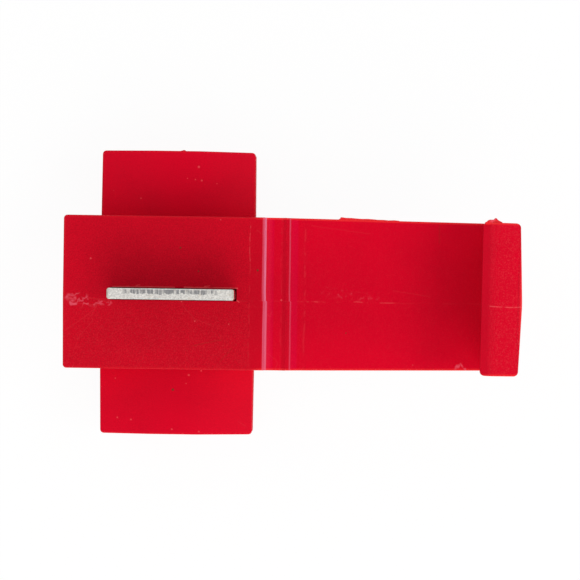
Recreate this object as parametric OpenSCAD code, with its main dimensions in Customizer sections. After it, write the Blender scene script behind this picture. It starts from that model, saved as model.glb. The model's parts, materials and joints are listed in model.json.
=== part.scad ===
// Quick-splice tap connector: a one-piece moulding with two wire channels, a living hinge and a
// latching lid, and a slotted contact plate that stands proud until it is pressed in.
// Millimetres. Origin on the run channel's axis, at the middle of the block. +Y runs along the
// wires, +X points from the block to the open lid, and +Z is the side that the contact stands on.

/* [Wire channels] */
// Radius of the two wire channels
channel_r = 1.5; // [1.4:0.05:1.6]
// Distance between the run channel's axis and the tap channel's
channel_pitch = 4; // [3.7:0.05:4.2]
// Height of the run channel's side entry where it meets the channel
entry_throat = 1.7; // [1.2:0.05:1.8]
// Height of the side entry at the outer face
entry_mouth = 2.4; // [2:0.05:2.6]
// Thickness of the wall that stops the tap wire
stop_wall = 1.2; // [0.8:0.1:2.5]
// Width of the lead-in chamfer at the channel mouths
mouth_chamfer = 0.25; // [0.1:0.05:0.35]

/* [Wire guides] */
// Length of the guides along the wires
guide_length = 20.2; // [16:0.1:24]
// Plastic under the channels
guide_floor = 1.5; // [1.3:0.1:2.5]
// Plastic over the channels
guide_roof = 1.5; // [1.3:0.1:2]
// Wall between the tap channel and the guide's outer face
tap_wall = 1.93; // [1.5:0.05:2.5]
// Wall between the run channel and the entry side's outer face
entry_wall = 2.16; // [2:0.02:2.8]
// How far the roof falls towards the entry side
entry_fall = 1.2; // [0.6:0.1:1.3]
// How far the roof falls towards the tap side
tap_fall = 0.7; // [0.3:0.1:1]
// Radius of the guides' lower long edges
guide_edge_r = 0.5; // [0.2:0.1:0.8]
// Moulding draft: how much each side of a guide narrows from the parting line to its end
guide_draft = 0.08; // [0:0.02:0.14]

/* [Block] */
// Length of the block along the wires
block_length = 10.7; // [9:0.1:13]
// Height of the block's top above the guides' roof
block_rise = 3.2; // [2.8:0.1:4]
// How far the latch wing stands out past the guides
wing_reach = 2.26; // [1.8:0.02:3]
// How far the block stands out past the guides on the hinge side
hinge_reach = 0.72; // [0.5:0.02:0.8]
// Radius of the block's upright corners
block_corner_r = 0.2; // [0.1:0.05:0.4]
// Draft of the block's latch side: how far it stands back at its ends from the parting line
block_draft = 0.04; // [0:0.01:0.1]
// Distance of the moulding's parting line from the middle, towards the tap mouth
parting_offset = 0.5; // [0.45:0.05:1]

/* [Hinge] */
// Free length of the hinge web
web_length = 1.5; // [1.2:0.05:1.8]
// Thickness of the hinge web
web_thick = 0.35; // [0.25:0.05:0.45]
// Depth of the web's upper face below the block's top
web_depth = 0.3; // [0.2:0.05:0.4]

/* [Lid] */
// Thickness of the lid
lid_thick = 1.1; // [0.9:0.05:1.4]
// How far each side of the lid stands in from the block's end, at the hinge
lid_inset = 0.02; // [0:0.01:0.8]
// How much narrower the lid is at its claw
lid_taper = 0.44; // [0:0.02:0.6]
// Height of the spacer bead beside the hinge, counted from the groove behind it
bead_height = 0.12; // [0.06:0.02:0.2]
// Thickness of the claw where it leaves the lid
claw_thick = 1.85; // [1.4:0.05:2.2]
// Height of the claw's tip above the lid
claw_tip_height = 4.9; // [4.7:0.05:5.3]
// Height of the claw's rounded nose above its tip
claw_nose = 0.7; // [0.5:0.05:1]
// Draft of the claw's outer face, from the parting line to its ends, as a slope
claw_draft = 0.042; // [0:0.002:0.06]
// Gap between the shut claw and the wing
latch_gap = 0.06; // [0.04:0.01:0.12]

/* [Contact] */
// Width of the contact plate
contact_width = 8.75; // [8.5:0.05:9.1]
// Thickness of the contact plate
contact_thick = 0.8; // [0.6:0.05:0.9]
// How far the plate stands above the block before it is pressed in
contact_proud = 3.6; // [2.5:0.1:3.8]
// Width of each wire slot
slot_width = 0.5; // [0.3:0.05:0.7]
// Length of each wire slot, from the tips of the tines
slot_length = 3.6; // [3.2:0.1:4.2]
// Width of the lead-in at a slot's open end
lead_in_width = 1.7; // [1.2:0.1:2]
// Length of the lead-in at a slot's open end
lead_in_length = 1.1; // [0.8:0.1:1.4]
// Clearance between the plate's faces and its pocket
pocket_clearance = 0.04; // [0.02:0.01:0.08]
// Clearance between the plate's ends and its pocket
pocket_end_clearance = 0.12; // [0.05:0.01:0.15]

/* [Hidden] */

$fn = 64;
// Points in one rounded corner of an outline
corner_steps = 6;
// Overlap that keeps a cut clear of the face it opens
cut = 1;

// Heights
base_z = -channel_r - guide_floor;
roof_z = channel_r + guide_roof;
top_z = roof_z + block_rise;

// Places across the wires
tap_x = -channel_pitch;
guide_left = tap_x - channel_r - tap_wall;
guide_right = channel_r + entry_wall;
crest_inset = channel_r / 4;
crest_left = tap_x + crest_inset;
crest_right = -crest_inset;
block_left = guide_left - wing_reach;
block_right = guide_right + hinge_reach;

// Hinge: the lid turns about the middle of the web, a little above the block's top
hinge_lift = 0.03;
hinge_x = block_right + web_length / 2;
hinge_z = top_z + hinge_lift;
web_end = block_right + web_length;
web_low_z = top_z - web_depth - web_thick;
hinge_relief_width = 0.85;
hinge_relief = 0.06;
// Where the web meets the block and the lid, its upper face rises this far, over this width
web_rise = 0.2;
web_rise_width = 0.32;

// Latch: the wing's face and the claw's inner face are arcs about the hinge, so the claw swings clear
wing_swing_r = hinge_x - block_left;
claw_swing_r = wing_swing_r + latch_gap;
claw_outer = hinge_x + claw_swing_r + claw_thick;
claw_tip_z = top_z + claw_tip_height;
claw_tip_x = hinge_x + sqrt(pow(claw_swing_r, 2) - pow(claw_tip_z - hinge_z, 2));
claw_nose_width = 0.85;
claw_top_z = claw_tip_z + claw_nose;
claw_corner_r = 0.3;
lid_root_width = block_length - 2 * lid_inset;
lid_low_z = top_z - lid_thick;
bead_width = 0.35;
bead_groove = 0.9;
lid_corner_r = 0.8;

// Contact: its lower face lies on the parting line
contact_x = tap_x / 2;
contact_y = contact_thick / 2 - parting_offset;
contact_recess = 0.05;
contact_travel = contact_proud + contact_recess;
contact_tip_gap = 0.15;
contact_tip_z = channel_r + contact_tip_gap;
contact_top_z = top_z + contact_proud;
contact_corner_r = 0.3;
tine_chamfer = 0.35;
pocket_floor_z = contact_tip_z - contact_travel - contact_tip_gap;

function unit(v) = v / norm(v);

// Points of the arc that rounds corner b of the path a-b-c
function corner_arc(a, b, c, r) =
    let (to_a = unit(a - b),
         to_c = unit(c - b),
         half = acos(to_a * to_c) / 2,
         centre = b + unit(to_a + to_c) * r / sin(half),
         first = b + to_a * r / tan(half) - centre,
         last = b + to_c * r / tan(half) - centre,
         start = atan2(first.y, first.x),
         turn = atan2(first.x * last.y - first.y * last.x, first * last))
    [for (i = [0:corner_steps])
        centre + r * [cos(start + turn * i / corner_steps), sin(start + turn * i / corner_steps)]];

// Outline whose corners are [x, y, radius]; a radius of 0 keeps the corner sharp
function outline(corners) =
    let (n = len(corners), p = [for (k = corners) [k.x, k.y]])
    [for (i = [0:n - 1])
        each corners[i].z > 0
            ? corner_arc(p[(i + n - 1) % n], p[i], p[(i + 1) % n], corners[i].z)
            : [p[i]]];

// Extrudes an outline drawn in X and Z along Y, centred on the block
module along_wires(length) {
    rotate([90, 0, 0]) linear_extrude(height = length, center = true) children();
}

// Extrudes an outline drawn in X and Y upwards
module upwards(low, high) {
    translate([0, 0, low]) linear_extrude(height = high - low) children();
}

// Cylinder along Y about the hinge axis
module hinge_disc(r, length) {
    translate([hinge_x, 0, hinge_z]) rotate([90, 0, 0]) cylinder(h = length, r = r, center = true, $fn = 128);
}

module guides() {
    end = guide_length / 2;
    edge_r = 0.25;
    narrow = guide_draft;
    intersection() {
        along_wires(guide_length)
            polygon(outline([
                [guide_left, base_z, guide_edge_r],
                [guide_right, base_z, guide_edge_r],
                [guide_right, roof_z - entry_fall, edge_r],
                [crest_right, roof_z, 0],
                [crest_left, roof_z, 0],
                [guide_left, roof_z - tap_fall, edge_r]]));
        upwards(base_z - cut, roof_z + cut)
            polygon(outline([
                [guide_left + narrow, -end, edge_r],
                [guide_right - narrow, -end, edge_r],
                [guide_right, -parting_offset, 0],
                [guide_right - narrow, end, edge_r],
                [guide_left + narrow, end, edge_r],
                [guide_left, -parting_offset, 0]]));
    }
}

module block() {
    end = block_length / 2;
    core_left = guide_left + guide_draft;
    core_right = guide_right - guide_draft;
    intersection() {
        along_wires(block_length)
            polygon(outline([
                [core_left, base_z, guide_edge_r],
                [core_right, base_z, guide_edge_r],
                [core_right, 0, 0],
                [block_right, 0, 0],
                [block_right, top_z - hinge_relief, 0],
                [block_right - hinge_relief_width, top_z, 0],
                [block_left, top_z, 0],
                [block_left, roof_z, 0],
                [core_left, roof_z, 0]]));
        hinge_disc(wing_swing_r, block_length + cut);
        upwards(base_z - cut, top_z + cut)
            polygon(outline([
                [block_left + block_draft, -end, block_corner_r],
                [block_right, -end, 0],
                [block_right, end, 0],
                [block_left + block_draft, end, block_corner_r],
                [block_left, -parting_offset, 0]]));
    }
}

// Through channel with its side entry and the chamfers at both mouths
module run_channel() {
    along_wires(guide_length + cut) {
        circle(channel_r);
        polygon([
            [0, -entry_throat / 2],
            [channel_r * 1.25, -entry_throat / 2],
            [guide_right, -entry_mouth / 2],
            [block_right + cut, -entry_mouth / 2],
            [block_right + cut, entry_mouth / 2],
            [guide_right, entry_mouth / 2],
            [channel_r * 1.25, entry_throat / 2],
            [0, entry_throat / 2]]);
    }
    for (side = [-1, 1]) channel_mouth(0, side);
}

// Blind channel, open towards -Y
module tap_channel() {
    translate([tap_x, guide_length / 2 - stop_wall, 0])
        rotate([90, 0, 0]) cylinder(h = guide_length - stop_wall + cut, r = channel_r);
    channel_mouth(tap_x, -1);
}

// Lead-in cone at a channel's mouth, on the end face at that side
module channel_mouth(x, side) {
    translate([x, side * guide_length / 2, 0])
        rotate([side * 90, 0, 0])
            cylinder(h = mouth_chamfer, r1 = channel_r + mouth_chamfer, r2 = channel_r);
}

// Pocket that guides the contact down across both channels
module contact_pocket() {
    width = contact_width + 2 * pocket_end_clearance;
    thick = contact_thick + 2 * pocket_clearance;
    translate([contact_x - width / 2, contact_y - thick / 2, pocket_floor_z])
        cube([width, thick, top_z - pocket_floor_z + cut]);
}

module housing() {
    color("crimson")
    difference() {
        union() {
            guides();
            block();
        }
        run_channel();
        tap_channel();
        contact_pocket();
    }
}

module hinge_web() {
    high = top_z - web_depth;
    color("crimson")
    along_wires(lid_root_width)
        polygon([
            [block_right, web_low_z],
            [web_end, web_low_z],
            [web_end, high + web_rise],
            [web_end - web_rise_width, high],
            [block_right + web_rise_width, high],
            [block_right, high + web_rise]]);
}

// Flat panel with its root bead, drawn in X and Z
module lid_panel() {
    root_z = top_z - web_depth + web_rise;
    bead = web_end + bead_width;
    along_wires(block_length + lid_root_width)
        polygon(outline([
            [web_end, web_low_z, 0],
            [web_end + lid_thick / 2, lid_low_z, 0],
            [claw_outer, lid_low_z, lid_corner_r],
            [claw_outer, top_z, 0],
            [bead + bead_groove + bead_height, top_z, 0],
            [bead + bead_groove, top_z - bead_height, 0],
            [bead + bead_groove / 2, top_z - bead_height, 0],
            [bead, top_z, 0],
            [web_end, root_z, 0]]));
}

// Claw whose inner face is an arc about the hinge and whose nose slopes down to the tip
module lid_claw() {
    difference() {
        along_wires(block_length + lid_root_width)
            polygon(outline([
                [claw_tip_x, top_z - lid_thick / 2, 0],
                [claw_outer, top_z - lid_thick / 2, 0],
                [claw_outer, claw_top_z, claw_corner_r],
                [claw_tip_x + claw_nose_width, claw_top_z, claw_corner_r],
                [claw_tip_x, claw_tip_z, 0]]));
        intersection() {
            hinge_disc(claw_swing_r, 2 * (block_length + lid_root_width));
            upwards(top_z, claw_top_z + cut)
                translate([hinge_x, -lid_root_width]) square([claw_swing_r + cut, 2 * lid_root_width]);
        }
    }
}

module lid() {
    root = lid_root_width / 2;
    end = root - lid_taper / 2;
    drafted = function (y) claw_outer - claw_draft * abs(y + parting_offset);
    color("crimson")
    intersection() {
        union() {
            lid_panel();
            lid_claw();
        }
        upwards(lid_low_z - cut, claw_top_z + cut)
            polygon(outline([
                [web_end - cut, -root, 0],
                [web_end, -root, 0],
                [drafted(-end), -end, claw_corner_r],
                [claw_outer, -parting_offset, 0],
                [drafted(end), end, claw_corner_r],
                [web_end, root, 0],
                [web_end - cut, root, 0]]));
    }
}

// Stamped plate with a wire slot over each channel
module contact() {
    half = contact_width / 2;
    slot_half = slot_width / 2;
    color("silver")
    translate([contact_x, contact_y, 0])
    difference() {
        along_wires(contact_thick)
            polygon(outline([
                [-half, contact_tip_z + tine_chamfer, 0],
                [-half + tine_chamfer, contact_tip_z, 0],
                [half - tine_chamfer, contact_tip_z, 0],
                [half, contact_tip_z + tine_chamfer, 0],
                [half, contact_top_z, contact_corner_r],
                [-half, contact_top_z, contact_corner_r]]));
        for (side = [-1, 1])
            translate([side * channel_pitch / 2, 0, contact_tip_z])
                along_wires(contact_thick + cut) {
                    translate([0, slot_length - slot_half]) circle(slot_half);
                    translate([-slot_half, 0]) square([slot_width, slot_length - slot_half]);
                    polygon([
                        [-lead_in_width / 2, -cut],
                        [-lead_in_width / 2, 0],
                        [-slot_half, lead_in_length],
                        [slot_half, lead_in_length],
                        [lead_in_width / 2, 0],
                        [lead_in_width / 2, -cut]]);
                }
    }
}

housing();
hinge_web();
lid();
contact();
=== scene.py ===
"""Looks of a quick-splice tap connector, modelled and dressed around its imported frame.

The moulding and its contact are modelled in millimetres on the bench, and each finished piece is then
brought to the frame's metres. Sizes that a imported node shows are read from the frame.
"""

from __future__ import annotations

import json
import logging
import math
from contextlib import contextmanager
from dataclasses import dataclass
from enum import Enum
from typing import Any, Callable, Iterator, NamedTuple, Sequence, Union

import bmesh
import bpy
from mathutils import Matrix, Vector


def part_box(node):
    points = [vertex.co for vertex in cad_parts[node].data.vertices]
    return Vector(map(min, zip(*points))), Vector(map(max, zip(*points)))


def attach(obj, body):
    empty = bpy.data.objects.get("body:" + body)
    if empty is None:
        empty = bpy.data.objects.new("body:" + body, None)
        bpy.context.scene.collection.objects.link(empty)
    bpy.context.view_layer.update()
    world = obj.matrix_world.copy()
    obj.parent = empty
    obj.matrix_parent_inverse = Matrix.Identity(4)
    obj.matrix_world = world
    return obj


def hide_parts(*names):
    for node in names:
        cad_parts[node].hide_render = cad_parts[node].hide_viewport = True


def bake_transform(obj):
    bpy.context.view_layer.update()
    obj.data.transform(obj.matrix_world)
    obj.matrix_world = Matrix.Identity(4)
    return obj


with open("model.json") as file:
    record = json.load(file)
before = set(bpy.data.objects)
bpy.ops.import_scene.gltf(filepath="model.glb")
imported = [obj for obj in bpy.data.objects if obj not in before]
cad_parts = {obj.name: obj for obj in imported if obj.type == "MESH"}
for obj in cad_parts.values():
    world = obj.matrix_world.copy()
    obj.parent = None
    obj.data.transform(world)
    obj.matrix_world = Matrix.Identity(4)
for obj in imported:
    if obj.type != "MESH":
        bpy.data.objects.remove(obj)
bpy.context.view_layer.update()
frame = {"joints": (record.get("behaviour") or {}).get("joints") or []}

MM = 0.001
log = logging.getLogger("splice")

Place = Sequence[float]
Colour = tuple[float, float, float]
Wire = Union[float, Sequence[float], bpy.types.NodeSocket]


class Axis(Enum):
    """The directions that rods and edges run along."""

    Y = Vector((0, 1, 0))
    Z = Vector((0, 0, 1))


class Joining(Enum):
    """What a second form does to the first one."""

    UNION = "UNION"
    DIFFERENCE = "DIFFERENCE"
    INTERSECT = "INTERSECT"


class Part(Enum):
    """The kinds of mesh element that a tool can act on."""

    EDGE = "EDGE"
    FACE = "FACE"


class Station(NamedTuple):
    """One cross-section of a form that is drawn out along X: its place and its limits."""

    x: float
    low: float
    high: float
    near: float | None = None
    far: float | None = None


class Form:
    """A closed mesh on the bench, in millimetres, shaped with edit-mode tools."""

    NEAR = 1e-4
    SHARP = math.radians(25)
    SMOOTH = math.radians(32)
    FLAT = math.radians(0.2)

    def __init__(self, obj: bpy.types.Object) -> None:
        """Takes an object that a primitive operator has just added.

        Args:
            obj: the new object, with its place still in its transform.
        """
        self.obj = obj
        bpy.ops.object.transform_apply(location=True, rotation=True, scale=True)

    @classmethod
    def box(cls, low: Place, high: Place) -> Form:
        """Adds a box between two corners.

        Args:
            low: the lowest corner.
            high: the highest corner.

        Returns:
            The new form.
        """
        low, high = Vector(low), Vector(high)
        bpy.ops.object.select_all(action="DESELECT")
        bpy.ops.mesh.primitive_cube_add(size=1, location=(low + high) / 2, scale=high - low)
        return cls(bpy.context.object)

    @classmethod
    def rod(cls, start: Place, length: float, radius: float, end_radius: float, vertices: int) -> Form:
        """Adds a round bar or a cone along Y.

        Args:
            start: the middle of the end with the lowest Y.
            length: the bar's length.
            radius: the radius at the start.
            end_radius: the radius at the other end.
            vertices: the number of sides.

        Returns:
            The new form.
        """
        bpy.ops.object.select_all(action="DESELECT")
        bpy.ops.mesh.primitive_cone_add(
            vertices=vertices,
            radius1=radius,
            radius2=end_radius,
            depth=length,
            location=Vector(start) + Axis.Y.value * length / 2,
            rotation=(-math.pi / 2, 0, 0),
        )
        return cls(bpy.context.object)

    def activate(self) -> None:
        """Makes the form the active object, and the only one selected."""
        bpy.ops.object.select_all(action="DESELECT")
        self.obj.select_set(True)
        bpy.context.view_layer.objects.active = self.obj

    @contextmanager
    def editing(self, part: Part = Part.FACE, everything: bool = False) -> Iterator[None]:
        """Holds the form in edit mode.

        Args:
            part: the kind of element that is selected.
            everything: whether the whole mesh is selected at the start.
        """
        self.activate()
        bpy.ops.object.mode_set(mode="EDIT")
        bpy.ops.mesh.select_mode(type=part.value)
        if everything:
            bpy.ops.mesh.select_all(action="SELECT")
        try:
            yield
        finally:
            bpy.ops.object.mode_set(mode="OBJECT")

    def select(self, part: Part, chosen: Callable) -> int:
        """Selects elements by place, in edit mode.

        Args:
            part: the kind of element to select.
            chosen: says whether a bmesh element is selected.

        Returns:
            The number of elements selected.
        """
        bpy.ops.mesh.select_all(action="DESELECT")
        mesh = bmesh.from_edit_mesh(self.obj.data)
        elements = mesh.edges if part is Part.EDGE else mesh.faces
        count = 0
        for element in elements:
            if chosen(element):
                element.select_set(True)
                count += 1
        mesh.select_flush_mode()
        bmesh.update_edit_mesh(self.obj.data)
        return count

    def slice(self, point: Place, outward: Place) -> Form:
        """Cuts off what lies beyond a plane and closes the cut.

        Args:
            point: a point of the plane.
            outward: the direction of what is cut off.

        Returns:
            The form itself.
        """
        with self.editing(everything=True):
            bpy.ops.mesh.bisect(
                plane_co=point,
                plane_no=Vector(outward).normalized(),
                use_fill=True,
                clear_outer=True,
                threshold=self.NEAR,
            )
        return self

    def turn(self, degrees: float, centre: Place) -> Form:
        """Turns the form about an upright axis.

        Args:
            degrees: how far, towards -Y on the +X side where it is positive.
            centre: a point of the axis.

        Returns:
            The form itself.
        """
        with self.editing(everything=True):
            bpy.ops.transform.rotate(
                value=math.radians(degrees), orient_axis="Z", orient_type="GLOBAL", center_override=centre
            )
        return self

    def pull(self, stations: Sequence[Station]) -> Form:
        """Draws the form's far face along X through cross-sections of changing height and depth.

        Args:
            stations: the cross-sections, in order. A depth that is left out stays as it was.

        Returns:
            The form itself.
        """
        for station in stations:
            with self.editing():
                far = max(v.co.x for v in bmesh.from_edit_mesh(self.obj.data).verts)
                self.select(Part.FACE, lambda f: all(v.co.x > far - self.NEAR for v in f.verts))
                ends = [v.co for v in bmesh.from_edit_mesh(self.obj.data).verts if v.co.x > far - self.NEAR]
                low, high = min(p.z for p in ends), max(p.z for p in ends)
                near, back = min(p.y for p in ends), max(p.y for p in ends)
                new_near = near if station.near is None else station.near
                new_back = back if station.far is None else station.far
                move = (station.x - far, new_near - near, station.low - low)
                size = (1, (new_back - new_near) / (back - near), (station.high - station.low) / (high - low))
                bpy.ops.mesh.extrude_region_move(TRANSFORM_OT_translate={"value": move})
                bpy.ops.transform.resize(value=size, center_override=(station.x, new_near, station.low))
        return self

    def flare(self, side: int, depth: float, widening: float, centre: Place) -> Form:
        """Draws a round bar's end further along Y and widens it.

        Args:
            side: 1 for the end with the highest Y, and -1 for the other.
            depth: how far the end is drawn.
            widening: the new end's radius over the old one's.
            centre: the middle of the new end.

        Returns:
            The form itself.
        """
        with self.editing():
            mesh = bmesh.from_edit_mesh(self.obj.data)
            tip = max(side * v.co.y for v in mesh.verts)
            self.select(Part.FACE, lambda f: all(side * v.co.y > tip - self.NEAR for v in f.verts))
            bpy.ops.mesh.extrude_region_move(TRANSFORM_OT_translate={"value": (0, side * depth, 0)})
            bpy.ops.transform.resize(value=(widening, 1, widening), center_override=centre)
        return self

    def join(self, other: Form, joining: Joining) -> Form:
        """Joins, cuts or meets this form with another, which is used up.

        Args:
            other: the second form.
            joining: what it does to this one.

        Returns:
            The form itself.
        """
        tool = self.obj.modifiers.new("join", "BOOLEAN")
        tool.operation = joining.value
        tool.solver = "EXACT"
        tool.object = other.obj
        self.apply(tool)
        bpy.data.objects.remove(other.obj)
        return self

    def apply(self, modifier: bpy.types.Modifier) -> None:
        """Applies one modifier of the form.

        Args:
            modifier: the modifier, which is used up.
        """
        self.activate()
        bpy.ops.object.modifier_apply(modifier=modifier.name)

    def round_edges(
        self,
        width: float,
        segments: int,
        chosen: Callable[[bmesh.types.BMEdge], bool],
        clamped: bool = False,
    ) -> Form:
        """Rounds the sharp edges that a test picks out.

        Args:
            width: the rounding's width on each side of the edge.
            segments: the number of faces across the rounding.
            chosen: says whether a sharp edge is rounded.
            clamped: whether the width is held back by short edges.

        Returns:
            The form itself.
        """
        with self.editing(Part.EDGE):
            found = self.select(
                Part.EDGE,
                lambda e: len(e.link_faces) == 2 and e.calc_face_angle(0) > self.SHARP and chosen(e),
            )
            if found:
                bpy.ops.mesh.bevel(
                    offset=width, segments=segments, profile=0.5, affect="EDGES", clamp_overlap=clamped
                )
        return self

    def merge_flats(self) -> Form:
        """Merges faces that lie in one plane, which the joins left split.

        Returns:
            The form itself.
        """
        with self.editing(everything=True):
            bpy.ops.mesh.dissolve_limited(angle_limit=self.FLAT)
        return self

    def finish(self, name: str, material: bpy.types.Material, flat: bool = True) -> bpy.types.Object:
        """Cleans the mesh, shades it, dresses it and brings it to metres.

        Args:
            name: the finished piece's name.
            material: what it is made of.
            flat: whether the big faces keep their own direction right up to a rounding.

        Returns:
            The finished object, at the origin with its place in its mesh.
        """
        with self.editing(everything=True):
            bpy.ops.mesh.normals_make_consistent(inside=False)
            if bmesh.from_edit_mesh(self.obj.data).calc_volume(signed=True) < 0:
                bpy.ops.mesh.flip_normals()
        bpy.ops.transform.resize(value=(MM, MM, MM), center_override=(0, 0, 0))
        bpy.ops.object.transform_apply(location=True, rotation=True, scale=True)
        bpy.ops.object.shade_smooth_by_angle(angle=self.SMOOTH)
        if flat:
            normals = self.obj.modifiers.new("Normals", "WEIGHTED_NORMAL")
            normals.keep_sharp = True
            self.apply(normals)
        self.obj.name = name
        self.obj.data.name = name
        self.obj.data.materials.append(material)
        return self.obj


def runs_along(edge: bmesh.types.BMEdge, axis: Axis) -> bool:
    """Tells whether an edge lies along an axis, within a tenth as a sine."""
    along = (edge.verts[1].co - edge.verts[0].co).normalized()
    return along.cross(axis.value).length < 0.1


def node_place(node: str) -> tuple[Vector, Vector]:
    """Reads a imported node's box.

    Args:
        node: the node's name.

    Returns:
        Its lowest and highest corners, in millimetres.
    """
    low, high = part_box(node)
    return low / MM, high / MM


@dataclass(frozen=True)
class Places:
    """Places that the pieces share, in millimetres."""

    block_left: float
    block_right: float
    guide_end: float
    base: float
    top: float
    web_end: float
    claw_outer: float
    claw_top: float
    hinge: Vector
    parting: float = -0.5
    roof: float = 3.0
    lid_thick: float = 1.1
    sweep_sides: int = 512

    @classmethod
    def read(cls) -> Places:
        """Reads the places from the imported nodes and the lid's joint.

        Returns:
            The shared places.
        """
        low, high = node_place("housing")
        lid_low, lid_high = node_place("lid")
        fold = next(joint for joint in frame["joints"] if joint["type"] == "hinge")
        return cls(
            block_left=low.x,
            block_right=high.x,
            guide_end=high.y,
            base=low.z,
            top=high.z,
            web_end=lid_low.x,
            claw_outer=lid_high.x,
            claw_top=lid_high.z,
            hinge=Vector(fold["pos_m"]) / MM,
        )

    def sweep(self, half: float, swing: float) -> Form:
        """Models a round bar about the hinge, whose wall is the path of a swinging edge.

        Args:
            half: half of the depth that it has to pass.
            swing: its radius.

        Returns:
            The bar.
        """
        start = (self.hinge.x, -half - 1, self.hinge.z)
        return Form.rod(start, 2 * half + 2, swing, swing, self.sweep_sides)


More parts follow.
